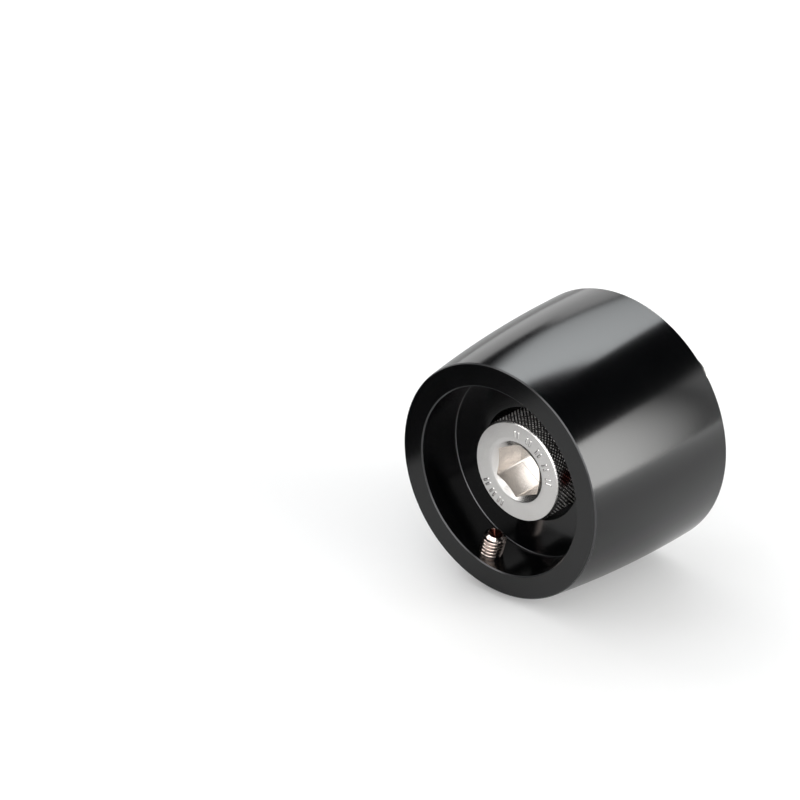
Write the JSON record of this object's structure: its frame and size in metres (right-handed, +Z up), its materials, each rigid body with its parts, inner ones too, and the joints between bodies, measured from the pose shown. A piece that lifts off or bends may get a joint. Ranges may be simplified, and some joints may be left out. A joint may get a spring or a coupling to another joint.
{
  "type": "bar end weight",
  "caption": "Turned black barrel with an open cup, held to the end of a handlebar by a socket head cap screw, with a small set screw through the cup wall.",
  "frame": {"origin": "centre of the flat face that seats against the end of the handlebar, on the mounting screw's axis", "axes": "+Y along the mounting screw into the handlebar, the cup opens towards -Y, +Z up, and the set screw is 15 degrees from straight down towards -X"},
  "size_m": [0.033, 0.0364, 0.033],
  "materials": {
    "black_anodised": "fine turned, black anodised, satin",
    "stainless_screw": "satin stainless, bright chamfer, knurled head",
    "set_screw_steel": "satin steel"
  },
  "bodies": {
    "root": {"weight_body": "black_anodised", "mounting_screw": "stainless_screw", "set_screw": "set_screw_steel"}
  },
  "joints": []
}
